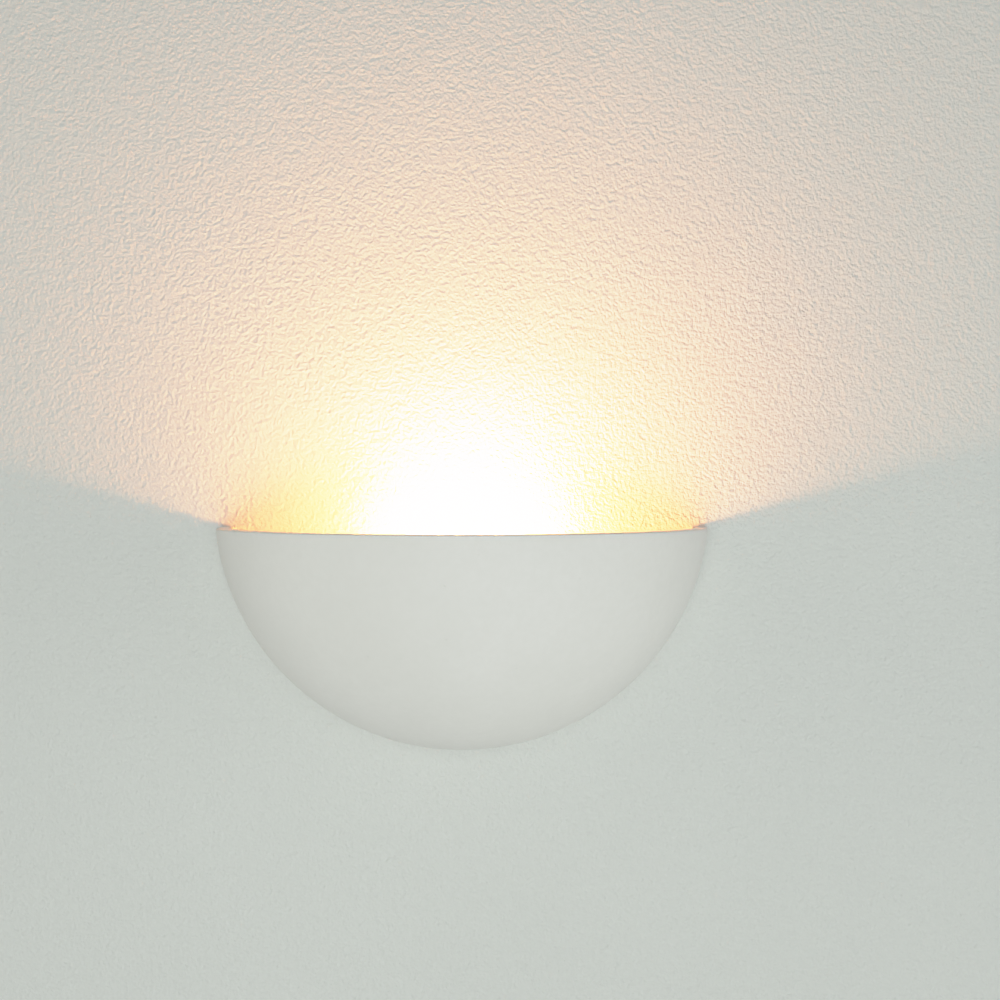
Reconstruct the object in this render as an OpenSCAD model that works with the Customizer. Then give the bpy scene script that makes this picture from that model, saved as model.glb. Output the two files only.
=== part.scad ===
// Uplighter wall sconce: a half-round unglazed ceramic bowl that hangs on a pressed steel wall bracket,
// with a horizontal E14 candle lamp inside. Millimetres. +Z up, the wall is the plane y = 0,
// and the light stands out towards -Y. Origin: on the wall, midway between the two wall slots.

/* [Bowl] */
// Radius of the sphere that the bowl is cut from
sphere_r = 152; // [150:0.5:155]
// Distance of the sphere's centre behind the wall plane
wall_cut = 20; // [18:1:22]
// Distance of the sphere's centre above the rim plane
rim_drop = 15; // [14:0.5:17]
// Thickness of the ceramic wall
shell_t = 9; // [8:0.5:10]
// Rounding of the two edges of the rim
rim_edge = 1; // [0.6:0.2:2]
// Height of the rim above the wall screws
rim_z = 74; // [73:1:76]

/* [Wall bracket] */
// Sheet thickness of the bracket and of the lampholder arm
sheet_t = 1.5; // [1.2:0.1:1.8]
// Distance between the two wall slots
slot_spacing = 80; // [76:1:84]
// Width of a wall slot
slot_w = 5; // [4.5:0.1:5.5]
// End-to-end length of a wall slot
slot_len = 12; // [9:1:14]
// Diameter of the cable entry through the grommet
cable_d = 9; // [7:0.5:10]
// Inner edge of the two hooks, from the middle
hook_x = 78; // [77:0.5:79]
// Width of a hook
hook_w = 12; // [10:0.5:12]

/* [Lamp and holder] */
// Distance of the lamp's axis from the wall
lamp_y = 42; // [41:0.5:44]
// Height of the lamp's axis above the wall screws
lamp_z = 24; // [23.5:0.5:25]
// Where the lamp's foot contact sits, from the middle
lamp_x = -53; // [-54:0.5:-52]
// Outer diameter of the porcelain holder
holder_d = 27; // [26:0.5:28]
// Largest diameter of the candle lamp
candle_d = 35; // [33:1:36]
// Insulated diameter of the inner wires
wire_d = 2.2; // [1.8:0.1:2.4]

/* [Hidden] */
$fn = 96;

ri = sphere_r - shell_t;            // inner sphere
cz = rim_z + rim_drop;              // height of the sphere's centre
pitch = 2.822;                      // E14 thread, nine turns to the inch
thread_mean = 6.55;                 // mean radius of the lamp cap's rolled thread
thread_amp = 0.4;                   // half of its depth
shell_gap = 0.3;                    // radial clearance of the holder's screw shell around it

// ---------- helpers ----------
// a cylinder along -Y that starts at the height h0 from the wall and ends at h1
module ycyl(x, z, h0, h1, r) translate([x, -h0, z]) rotate([90, 0, 0]) cylinder(h = h1 - h0, r = r);
module ycone(x, z, h0, h1, r0, r1) translate([x, -h0, z]) rotate([90, 0, 0]) cylinder(h = h1 - h0, r1 = r0, r2 = r1);
// a cylinder along +X on the lamp's axis, from t0 to t1 counted from the lamp's foot contact
module tcyl(t0, t1, r) translate([lamp_x + t0, -lamp_y, lamp_z]) rotate([0, 90, 0]) cylinder(h = t1 - t0, r = r);
// an outline in X and Z, extruded from the height h0 to h1 from the wall
module from_wall(h0, h1) translate([0, -h0, 0]) rotate([90, 0, 0]) linear_extrude(h1 - h0) children();
// an outline in Y and Z, extruded along X
module along_x(x0, x1) translate([x0, 0, 0]) rotate([90, 0, 90]) linear_extrude(x1 - x0) children();
// a shape turned about the lamp's axis, from an outline of radius and distance t
module on_lamp_axis() translate([lamp_x, -lamp_y, lamp_z]) rotate([0, 90, 0]) rotate_extrude() children();
module round_rect(x0, z0, x1, z1, r) {
  translate([x0 + r, z0]) square([x1 - x0 - 2 * r, z1 - z0]);
  translate([x0, z0 + r]) square([x1 - x0, z1 - z0 - 2 * r]);
  for (x = [x0 + r, x1 - r], z = [z0 + r, z1 - r]) translate([x, z]) circle(r);
}
module slot2d(x, z, len, w) {
  for (s = [-1, 1]) translate([x + s * (len - w) / 2, z]) circle(w / 2);
  translate([x - (len - w) / 2, z - w / 2]) square([len - w, w]);
}
// a quarter of a bent sheet's ring, about a centre, in the quadrant (sx, sy)
module bend2d(c, ra, rb, sx, sy) translate(c) intersection() {
  difference() { circle(rb); circle(ra); }
  translate([sx > 0 ? 0 : -rb, sy > 0 ? 0 : -rb]) square(rb);
}
module mirror_x(s) { if (s > 0) children(); else mirror([1, 0, 0]) children(); }
module rod(a, b, r) {
  d = b - a; l = norm(d);
  translate(a) rotate([0, acos(d[2] / l), atan2(d[1], d[0])]) cylinder(h = l, r = r, $fn = 24);
}

// a round wire swept along a route
function cr(p0, p1, p2, p3, u) = 0.5 * (2 * p1 + (p2 - p0) * u + (2 * p0 - 5 * p1 + 4 * p2 - p3) * u * u + (3 * p1 - p0 - 3 * p2 + p3) * u * u * u);
function smooth_route(p, n) = [for (i = [0:len(p) - 2], k = [0:n - 1]) cr(p[max(i - 1, 0)], p[i], p[i + 1], p[min(i + 2, len(p) - 1)], k / n), p[len(p) - 1]];
function unit(v) = v / norm(v);
function tangents(q) = [for (i = [0:len(q) - 1]) unit(q[min(i + 1, len(q) - 1)] - q[max(i - 1, 0)])];
function frames(t, i, n) = i == len(t) ? [] : let (m = unit(n - (n * t[i]) * t[i])) concat([m], frames(t, i + 1, m));
module wire(route, r, steps = 3, sides = 8) {
  q = smooth_route(route, steps);
  t = tangents(q);
  n0 = abs(t[0][2]) < 0.9 ? [0, 0, 1] : [1, 0, 0];
  n = frames(t, 0, n0);
  pts = [for (i = [0:len(q) - 1], k = [0:sides - 1]) q[i] + r * (cos(360 * k / sides) * n[i] + sin(360 * k / sides) * cross(t[i], n[i]))];
  m = len(q);
  faces = concat(
    [[for (k = [0:sides - 1]) k]],
    [[for (k = [sides - 1:-1:0]) (m - 1) * sides + k]],
    [for (i = [0:m - 2], k = [0:sides - 1]) let (a = i * sides + k, b = i * sides + (k + 1) % sides) [a, a + sides, b + sides, b]]
  );
  polyhedron(pts, faces, convexity = 6);
}

// a tube about the lamp's axis whose outside and inside each have their own radius at every row
// and every angle; outer and inner are lists of [t, radius, thread depth]
module threaded_tube(outer, inner, sides) {
  function ring(row) = [for (k = [0:sides - 1]) let (a = 360 * k / sides, r = row[1] + row[2] * cos(360 * row[0] / pitch - a)) [row[0], r * cos(a), r * sin(a)]];
  no = len(outer); ni = len(inner);
  pts = concat([for (row = outer) each ring(row)], [for (row = inner) each ring(row)]);
  base = no * sides;
  faces = concat(
    [for (i = [0:no - 2], k = [0:sides - 1]) let (a = i * sides + k, b = i * sides + (k + 1) % sides) each [[a, a + sides, b + sides], [a, b + sides, b]]],
    [for (i = [0:ni - 2], k = [0:sides - 1]) let (a = base + i * sides + k, b = base + i * sides + (k + 1) % sides) each [[a, b + sides, a + sides], [a, b, b + sides]]],
    [for (k = [0:sides - 1]) let (a = k, b = (k + 1) % sides, c = base + k, d = base + (k + 1) % sides) each [[a, b, d], [a, d, c]]],
    [for (k = [0:sides - 1]) let (a = (no - 1) * sides + k, b = (no - 1) * sides + (k + 1) % sides, c = base + (ni - 1) * sides + k, d = base + (ni - 1) * sides + (k + 1) % sides) each [[a, d, b], [a, c, d]]]
  );
  translate([lamp_x, -lamp_y, lamp_z]) polyhedron(pts, faces, convexity = 8);
}

// ---------- the bowl ----------
// the fillet's centre at an edge of the rim, where the sphere's radius is r and s is 1 outside, -1 inside
function rim_c(r, s) = let (rc = r - s * rim_edge) [sqrt(rc * rc - pow(rim_drop + rim_edge, 2)), -(rim_drop + rim_edge)];
module rim_bite(r, s) {
  c = rim_c(r, s);
  d = s * unit(c);
  difference() {
    polygon([c, c + [0, 9], c + [0, 9] + 9 * d, c + 9 * d]);
    translate(c) circle(rim_edge);
  }
}
module bowl_profile() difference() {
  intersection() {
    difference() { circle(sphere_r, $fn = 200); circle(ri, $fn = 200); }
    translate([0, -sphere_r - 5]) square([sphere_r + 5, sphere_r + 5 - rim_drop]);
  }
  rim_bite(sphere_r, 1);
  rim_bite(ri, -1);
}
// the two lugs inside the bowl that carry the hanger plates
module lug(s) mirror_x(s) intersection() {
  translate([0, wall_cut, cz]) sphere(ri + 1.5, $fn = 200);
  translate([0, 0, 0]) from_wall(4, 25) round_rect(100, 11, 140, 37, 4);
}
module bowl_shell() color([0.93, 0.93, 0.91]) difference() {
  union() {
    difference() {
      translate([0, wall_cut, cz]) rotate_extrude($fn = 200) bowl_profile();
      translate([-200, 0, -200]) cube([400, 400, 400]);
    }
    for (s = [-1, 1]) lug(s);
  }
  for (s = [-1, 1], z = [18, 30]) ycyl(s * 108, z, 3, 17, 3.25);
}
module hanger_plate(s) color([0.75, 0.76, 0.77]) mirror_x(s) difference() {
  from_wall(2, 4) difference() {
    union() {
      round_rect(hook_x - 5, 2, hook_x + hook_w + 6, 34, 2);
      round_rect(hook_x + 2, 13, 116, 34, 2);
    }
    translate([hook_x - 0.3, 1]) square([hook_w + 0.6, 5.1]);
  }
  for (z = [18, 30]) {
    ycyl(108, z, 1, 5, 2.1);
    ycone(108, z, 1.99, 4.0, 4.02, 2.1);
  }
}
module hanger_plate_left() hanger_plate(-1);
module hanger_plate_right() hanger_plate(1);
module hanger_screws() color([0.8, 0.78, 0.7]) for (s = [-1, 1], z = [18, 30]) difference() {
  union() {
    ycone(s * 108, z, 2.05, 4.0, 3.85, 1.95);
    ycyl(s * 108, z, 3.9, 15, 1.95);
  }
  // cross recess
  for (a = [0, 90]) translate([s * 108, -2, z]) rotate([0, a, 0]) translate([-1.9, -1, -0.35]) cube([3.8, 2, 0.7]);
}
module hanger_inserts() color([0.8, 0.65, 0.3]) for (s = [-1, 1], z = [18, 30]) difference() {
  union() {
    ycyl(s * 108, z, 4.1, 7, 3.2);
    ycyl(s * 108, z, 7, 8, 2.8);
    ycyl(s * 108, z, 8, 15.5, 3.2);
  }
  ycyl(s * 108, z, 4, 16, 2.02);
}

// ---------- the wall bracket ----------
module bracket_outline() difference() {
  union() {
    round_rect(-68, -14, 68, 42, 6);
    for (s = [-1, 1]) mirror([s < 0 ? 1 : 0, 0]) round_rect(50, 0, hook_x + hook_w + 4, 27, 3);
  }
  for (s = [-1, 1]) {
    slot2d(s * slot_spacing / 2, 0, slot_len, slot_w);
    mirror([s < 0 ? 1 : 0, 0]) translate([hook_x - 0.5, 4]) square([hook_w + 1, 18]);
  }
  circle(14);
  translate([-16, 28]) circle(2.0);
  for (z = [17, 31]) translate([-52, z]) circle(1.62);
  for (x = [22.5, 34.5]) translate([x, 21.5]) circle(1.3);
  // lightening windows
  slot2d(-20, -7, 14, 5);
  slot2d(20, -7, 14, 5);
}
module hook2d() {
  t = sheet_t;
  bend2d([-t - 0.5, 4], 0.5, t + 0.5, 1, 1);
  translate([-4, 4.5]) square([4 - t - 0.5, t]);
  bend2d([-4, 5 + t], 0.5, t + 0.5, -1, -1);
  translate([-4.5 - t, 5 + t]) square([t, 9.2]);
  translate([-4.5 - t / 2, 14.2 + t]) circle(t / 2);
}
module wall_bracket() color([0.82, 0.83, 0.84]) {
  difference() {
    union() {
      from_wall(0, sheet_t) bracket_outline();
      // the dish round the cable entry, pressed forward so that the grommet clears the wall
      rotate([90, 0, 0]) rotate_extrude() polygon([[7, 3], [10.4, 3], [12.4, 0], [14.5, 0], [14.5, sheet_t], [13.2, sheet_t], [11.2, 3 + sheet_t], [7, 3 + sheet_t]]);
    }
  }
  for (s = [-1, 1]) mirror_x(s) along_x(hook_x, hook_x + hook_w) hook2d();
}
module cable_grommet() color([0.12, 0.12, 0.13]) rotate([90, 0, 0]) rotate_extrude()
  polygon([[cable_d / 2, 1.4], [cable_d / 2 + 0.4, 1.0], [9, 1.0], [9.5, 1.6], [9.5, 3], [6.95, 3], [6.95, 3 + sheet_t], [9.5, 3 + sheet_t], [9.5, 6.6], [8.6, 7.5], [cable_d / 2 + 0.4, 7.5], [cable_d / 2, 7.1]]);

// ---------- the lampholder arm ----------
arm_x = lamp_x - 10;                // the side of the arm that carries the holder
module lamp_arm() color([0.82, 0.83, 0.84]) {
  t = sheet_t;
  difference() {
    union() {
      // foot, bend and leg, as an outline in X and Y
      translate([0, 0, 12]) linear_extrude(24) {
        translate([arm_x + 0.5, -2 * t]) square([16.5, t]);
        bend2d([arm_x + 0.5, -2 * t - 0.5], 0.5, t + 0.5, -1, 1);
        translate([arm_x - t, -lamp_y - 1]) square([t, lamp_y + 1 - 2 * t - 0.5]);
      }
      translate([arm_x - t, -lamp_y - 1, 24]) rotate([0, 90, 0]) cylinder(h = t, r = 12);
    }
    translate([arm_x - 5, -lamp_y, lamp_z]) rotate([0, 90, 0]) cylinder(h = 10, r = 7.2);
    for (s = [-1, 1]) translate([arm_x - 5, -lamp_y + s * 9.8, lamp_z]) rotate([0, 90, 0]) cylinder(h = 10, r = 1.7, $fn = 48);
    for (z = [17, 31]) ycyl(-52, z, 1, 6, 1.62);
    // lightening hole in the leg
    translate([arm_x - 5, -16, 24]) rotate([0, 90, 0]) cylinder(h = 10, r = 6);
  }
}
module arm_rivets() color([0.7, 0.71, 0.72]) for (z = [17, 31]) {
  ycyl(-52, z, 0.2, 2 * sheet_t + 0.1, 1.6);
  difference() {
    translate([-52, -2 * sheet_t + 1.2, z]) sphere(3.2, $fn = 64);
    translate([-60, -2 * sheet_t, z - 8]) cube([16, 20, 16]);
  }
}

// ---------- terminal block and earth ----------
pole_x = [16.5, 28.5, 40.5];
module terminal_housing() color([0.9, 0.89, 0.85]) difference() {
  union() {
    from_wall(sheet_t, 7) round_rect(11.2, 13, 45.8, 30, 1);
    for (x = pole_x) {
      from_wall(6, 11.5) round_rect(x - 3.7, 13, x + 3.7, 30, 1);
      for (z = [18, 25]) ycyl(x, z, 11, 14.5, 3.4);
    }
  }
  for (x = pole_x) {
    translate([x, -6.5, 14.6]) cylinder(h = 13.8, r = 2.75);
    translate([x, -6.5, 12]) cylinder(h = 19, r = 2.0);
    for (z = [18, 25]) ycyl(x, z, 6.5, 16, 2.0);
  }
  for (x = [22.5, 34.5]) ycyl(x, 21.5, 1, 16, 1.35);
}
module terminal_tubes() color([0.8, 0.65, 0.3]) for (x = pole_x) difference() {
  translate([x, -6.5, 15]) cylinder(h = 13, r = 2.7);
  translate([x, -6.5, 14]) cylinder(h = 15, r = 1.6);
  for (z = [18, 25]) ycyl(x, z, 6.5, 10, 1.45);
}
module terminal_screws() color([0.78, 0.78, 0.78]) for (x = pole_x, q = [[18, 8.3], [25, 7.5]]) difference() {
  union() {
    ycyl(x, q[0], q[1], q[1] + 4.4, 1.4);
    ycyl(x, q[0], q[1] + 3, q[1] + 4.8, 1.9);
  }
  translate([x - 3, -q[1] - 6, q[0] - 0.3]) cube([6, 2.2, 0.6]);
}
module terminal_fixing_screws() color([0.78, 0.78, 0.78]) for (x = [22.5, 34.5]) difference() {
  union() {
    ycyl(x, 21.5, 0.3, 7.2, 1.25);
    ycyl(x, 21.5, 7, 8.6, 2.15);
  }
  for (a = [0, 90]) translate([x, -8.7, 21.5]) rotate([0, a, 0]) translate([-1.2, -0.1, -0.25]) cube([2.4, 0.9, 0.5]);
}
module earth_screw() color([0.8, 0.78, 0.7]) difference() {
  union() {
    ycyl(-16, 28, 0.2, 3.1, 1.95);
    ycyl(-16, 28, 3.0, 5.0, 3.9);
    ycone(-16, 28, 5.0, 5.5, 3.9, 3.2);
  }
  for (a = [0, 90]) translate([-16, -5.6, 28]) rotate([0, a, 0]) translate([-1.9, -0.1, -0.35]) cube([3.8, 1.3, 0.7]);
}
module earth_washer() color([0.8, 0.78, 0.7]) difference() {
  ycyl(-16, 28, 2.4, 2.95, 4.2);
  ycyl(-16, 28, 2, 4, 2.1);
  for (a = [0:30:330]) translate([-16 + 4.3 * cos(a), -2, 28 + 4.3 * sin(a)]) rotate([90, 0, 0]) cylinder(h = 2, r = 0.55, $fn = 24);
}
module earth_lug() color([0.82, 0.82, 0.83]) {
  difference() {
    union() {
      ycyl(-16, 28, sheet_t + 0.05, 2.35, 4);
      from_wall(sheet_t + 0.05, 2.35) translate([-13, 26.2]) square([5.5, 3.6]);
    }
    ycyl(-16, 28, 1, 4, 2.1);
  }
  // the crimped barrel
  translate([-9, -3.75, 28]) rotate([0, 90, 0]) difference() {
    cylinder(h = 5, r = 1.9, $fn = 64);
    translate([0, 0, -1]) cylinder(h = 8, r = 1.25, $fn = 64);
  }
}

// ---------- inner wires: routes chosen by hand ----------
route_live = [[-60, -42, 29], [-66, -42, 29], [-69.3, -40.5, 29.6], [-70.6, -36, 31.2], [-70, -27, 34.2], [-67.6, -18, 37], [-62.5, -10.5, 38.8], [-52, -6, 39.4], [-40, -4.7, 39.5], [-20, -4.6, 39.5], [0, -4.6, 39.5], [16, -4.8, 39.5], [24.5, -5.6, 38.6], [28, -6.3, 35.8], [28.5, -6.5, 33], [28.5, -6.5, 31.5]];
route_neutral = [[-60, -42, 19], [-66, -42, 19], [-69.8, -40.8, 19.6], [-72.4, -37, 22.5], [-73.5, -31, 28], [-73, -24, 34.5], [-70.5, -18.5, 39], [-65, -13.6, 40.9], [-54, -9.6, 40.7], [-42, -7.8, 39.9], [-24, -7.6, 39.3], [0, -7.6, 39.3], [20, -8.1, 39.4], [34, -7.9, 39], [39.6, -7.1, 36.6], [40.5, -6.6, 33.4], [40.5, -6.5, 31.5]];
route_earth = [[16.5, -6.5, 31.5], [16.4, -6.7, 33], [14.6, -7.4, 35.2], [10, -8.2, 35.6], [4, -7.8, 33.5], [1.4, -6.2, 30.8], [-0.8, -4.3, 28.6], [-2.8, -3.75, 28], [-4.8, -3.75, 28], [-7.2, -3.75, 28]];
module wire_live() color([0.36, 0.22, 0.13]) wire(route_live, wire_d / 2);
module wire_neutral() color([0.12, 0.3, 0.62]) wire(route_neutral, wire_d / 2);
module wire_earth() color([0.35, 0.6, 0.15]) wire(route_earth, wire_d / 2);
// crimped ferrules with short collars, and the tinned ends that enter the holder's rivets
module wire_ferrules() color([0.8, 0.8, 0.8]) {
  for (x = pole_x) {
    translate([x, -6.5, 22.5]) cylinder(h = 7.6, r = 0.9, $fn = 48);
    translate([x, -6.5, 30.1]) cylinder(h = 1.2, r = 1.5, $fn = 48);
  }
  for (s = [-1, 1]) translate([lamp_x - 6.95, -lamp_y, lamp_z + 5 * s]) rotate([0, 90, 0]) cylinder(h = 2.9, r = 0.55, $fn = 48);
}

// ---------- the E14 holder ----------
module holder_body() color([0.95, 0.95, 0.93]) difference() {
  on_lamp_axis() polygon([[0, -10], [12.3, -10], [holder_d / 2, -8.8], [holder_d / 2, 14], [holder_d / 2 - 1, 15.2], [holder_d / 2 - 1, 21], [holder_d / 2 - 2, 22], [9.8, 22], [9.2, 21.4], [9.2, 19.6], [7.9, 19.6], [7.9, -3], [0, -3]]);
  for (s = [-1, 1]) {
    // wire holes, wide at the back, and the rivets' seats
    translate([lamp_x - 11, -lamp_y, lamp_z + 5 * s]) rotate([0, 90, 0]) cylinder(h = 5, r = 1.5, $fn = 48);
    translate([lamp_x - 11, -lamp_y, lamp_z + 5 * s]) rotate([0, 90, 0]) cylinder(h = 9, r = 1.05, $fn = 48);
    // blind holes for the fixing screws
    translate([lamp_x - 11, -lamp_y + 9.8 * s, lamp_z]) rotate([0, 90, 0]) cylinder(h = 7, r = 1.55, $fn = 48);
  }
}
// a thin brass shell with the thread rolled into it
function shell_depth(t) = t < 3.6 ? (t - 2.2) / 1.4 : t > 17.7 ? max(0, (19.1 - t) / 1.4) : 1;
module screw_shell() color([0.83, 0.67, 0.33]) {
  rows = [for (i = [0:36]) 2.2 + i * 0.4703];
  m = thread_mean + shell_gap;
  threaded_tube(
    [for (t = rows) [t, m + 0.35 + thread_amp * (1 - shell_depth(t)), thread_amp * shell_depth(t)]],
    [for (t = rows) [t, m + thread_amp * (1 - shell_depth(t)), thread_amp * shell_depth(t)]], 24);
}
// bronze spring leaves, each an outline in X and Z with a hole for its rivet
module leaf(w, z) translate([lamp_x, -lamp_y, lamp_z]) difference() {
  translate([0, w / 2, 0]) rotate([90, 0, 0]) linear_extrude(w) children();
  translate([-4, 0, z]) rotate([0, 90, 0]) cylinder(h = 3, r = 1.0, $fn = 48);
}
module centre_contact() color([0.78, 0.52, 0.3]) leaf(5, 5)
  polygon([[-3, 6.9], [-2.6, 6.9], [-2.6, 3.2], [-0.5, 1.4], [-0.15, 0.6], [-0.15, -1.6], [-0.9, -2.6], [-1.2, -2.3], [-0.55, -1.45], [-0.55, 0.4], [-0.8, 1.1], [-3, 3.0]]);
module side_contact() color([0.78, 0.52, 0.3]) leaf(4, -5)
  polygon([[-3, -3.4], [-2.6, -3.4], [-2.6, -6.9], [2.1, -6.9], [2.1, -7.3], [-3, -7.3]]);
module contact_rivets() color([0.83, 0.67, 0.33]) for (s = [-1, 1]) translate([lamp_x, -lamp_y, lamp_z + 5 * s]) rotate([0, 90, 0]) difference() {
  union() {
    translate([0, 0, -6]) cylinder(h = 3.6, r = 0.95, $fn = 48);
    translate([0, 0, -2.58]) cylinder(h = 0.5, r = 1.6, $fn = 48);
  }
  translate([0, 0, -7]) cylinder(h = 3, r = 0.6, $fn = 48);
}
module holder_screws() color([0.78, 0.78, 0.78]) for (s = [-1, 1]) translate([arm_x - sheet_t, -lamp_y + 9.8 * s, lamp_z]) rotate([0, 90, 0]) difference() {
  union() {
    translate([0, 0, -1.9]) cylinder(h = 1.9, r = 2.7, $fn = 64);
    cylinder(h = 6.5, r = 1.45, $fn = 48);
  }
  for (a = [0, 90]) rotate([0, 0, a]) translate([-1.5, -0.3, -3]) cube([3, 0.6, 2]);
}

// ---------- the candle lamp ----------
gr = candle_d / 2;
// the glass, as distances from the foot contact and radii; the neck sits in the cap's collar
glass_pts = [[24.6, 7.75], [27.2, 8.0], [30.5, 9.6], [35, gr * 0.70], [41, gr * 0.87], [48, gr * 0.975], [55, gr], [62, gr * 0.972], [70, gr * 0.86], [78, gr * 0.675], [86, gr * 0.44], [93, gr * 0.24], [97.5, gr * 0.115], [100, 0.35]];
glass_curve = smooth_route(glass_pts, 4);
function inward(q, i, w) = let (d = unit(q[min(i + 1, len(q) - 1)] - q[max(i - 1, 0)])) q[i] + w * [d[1], -d[0]];
module lamp_glass() color([0.98, 0.95, 0.88]) {
  w = 0.7;
  inner = [for (i = [0:len(glass_curve) - 1]) let (p = inward(glass_curve, i, w)) if (p[1] > 0.4) p];
  on_lamp_axis() polygon(concat(
    [for (p = glass_curve) [p[1], p[0]]], [[0, 100.2], [0, 99.1]],
    [for (i = [len(inner) - 1:-1:0]) [inner[i][1], inner[i][0]]]));
}
function cap_depth(t) = t < 5.4 ? (t - 4.2) / 1.2 : t > 18.4 ? max(0, (19.6 - t) / 1.2) : 1;
module lamp_cap() color([0.8, 0.8, 0.8]) {
  rows = [for (i = [0:33]) 4.2 + i * 0.4703];
  threaded_tube(
    concat([for (t = rows) [t, thread_mean - thread_amp * (1 - cap_depth(t)), thread_amp * cap_depth(t)]],
      [[20.4, 6.5, 0], [21.0, 7.6, 0], [21.4, 8.3, 0], [22, 8.5, 0], [26.6, 8.5, 0], [27, 8.35, 0]]),
    [[4.2, 5.8, 0], [20.2, 5.8, 0], [21.6, 7.6, 0], [22.6, 8.1, 0], [27, 8.1, 0]], 24);
}
module lamp_insulator() color([0.08, 0.08, 0.1]) on_lamp_axis() polygon([[2.45, 1.3], [4.6, 1.3], [6.0, 4.15], [5.7, 4.15], [5.7, 5.6], [0.9, 5.6], [0.9, 2.2], [2.45, 2.2]]);
module lamp_contact() color([0.72, 0.72, 0.7]) on_lamp_axis() polygon([[0, 0], [0.9, 0.08], [1.7, 0.35], [2.2, 0.8], [2.4, 1.35], [2.4, 2.15], [0.85, 2.15], [0.85, 5.2], [0, 5.2]]);
module lamp_stem() color([0.85, 0.9, 0.9]) on_lamp_axis() polygon([[1.2, 29], [2.6, 29], [4.2, 27.4], [6.6, 25.4], [6.9, 25.0], [7.0, 25.6], [4.9, 27.9], [3.4, 30], [3.0, 33], [3.0, 44], [2.2, 46.5], [1.6, 48.5], [1.4, 52], [0, 52.4], [0, 45], [1.2, 44.4]]);
lead_points = [[44.8, 0, 3.3], [47, 0, 3.9], [49.4, 0, 4.9], [53, 0, 7.6], [56.5, 0, 10]];
module lead_in_wires() color([0.75, 0.72, 0.68]) translate([lamp_x, -lamp_y, lamp_z]) for (s = [-1, 1]) wire([for (p = lead_points) [p[0], p[1], s * p[2]]], 0.3, steps = 2, sides = 8);
// the coiled filament, as the outer shape of its coil
filament_pts = [[56.5, 0, -10], [57.7, 3.5, -6.4], [58.5, 5.4, -2.2], [58.5, 5.4, 2.2], [57.7, 3.5, 6.4], [56.5, 0, 10]];
module filament() color([1, 0.85, 0.5]) translate([lamp_x, -lamp_y, lamp_z]) wire([for (p = filament_pts) [p[0] + 0.55, p[1], p[2]]], 0.4, steps = 4, sides = 8);
module filament_supports() color([0.6, 0.6, 0.6]) translate([lamp_x, -lamp_y, lamp_z]) for (s = [-1, 1]) {
  rod([51, 1.75, 0.6 * s], [58.1, 4.9, 2.5 * s], 0.16);
}

// ---------- selection ----------
bowl_shell();
hanger_plate_left();
hanger_plate_right();
hanger_screws();
hanger_inserts();
wall_bracket();
lamp_arm();
arm_rivets();
cable_grommet();
terminal_housing();
terminal_tubes();
terminal_screws();
terminal_fixing_screws();
earth_screw();
earth_washer();
earth_lug();
wire_live();
wire_neutral();
wire_earth();
wire_ferrules();
holder_body();
screw_shell();
centre_contact();
side_contact();
contact_rivets();
holder_screws();
lamp_contact();
lamp_insulator();
lamp_cap();
lamp_glass();
lamp_stem();
lead_in_wires();
filament();
filament_supports();
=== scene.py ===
import bpy
import bmesh
import math
import random
from mathutils import Vector, Matrix


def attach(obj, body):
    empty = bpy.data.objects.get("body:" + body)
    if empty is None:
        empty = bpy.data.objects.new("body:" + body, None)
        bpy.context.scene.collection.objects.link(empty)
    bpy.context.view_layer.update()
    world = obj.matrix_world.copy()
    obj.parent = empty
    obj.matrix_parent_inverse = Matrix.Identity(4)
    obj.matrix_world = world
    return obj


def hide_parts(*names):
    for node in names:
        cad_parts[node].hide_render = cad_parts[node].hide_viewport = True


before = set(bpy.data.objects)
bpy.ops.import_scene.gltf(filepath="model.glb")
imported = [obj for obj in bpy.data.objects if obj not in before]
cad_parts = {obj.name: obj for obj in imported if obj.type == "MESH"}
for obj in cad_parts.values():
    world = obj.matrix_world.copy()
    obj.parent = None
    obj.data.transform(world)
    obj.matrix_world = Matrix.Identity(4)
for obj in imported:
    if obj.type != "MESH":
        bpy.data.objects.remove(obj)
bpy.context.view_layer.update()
rnd = random.Random(41)
MM = 0.001

# ---------------------------------------------------------------- sizes, in millimetres
SPHERE_R, WALL_CUT, RIM_DROP, SHELL_T, RIM_EDGE = 152.0, 20.0, 15.0, 9.0, 1.0
RIM_Z = 74.0
CZ = RIM_Z + RIM_DROP
RI = SPHERE_R - SHELL_T
LAMP_X, LAMP_Y, LAMP_Z = -53.0, 42.0, 24.0
PITCH, T_MEAN, T_AMP, GAP = 2.822, 6.55, 0.4, 0.3


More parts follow.
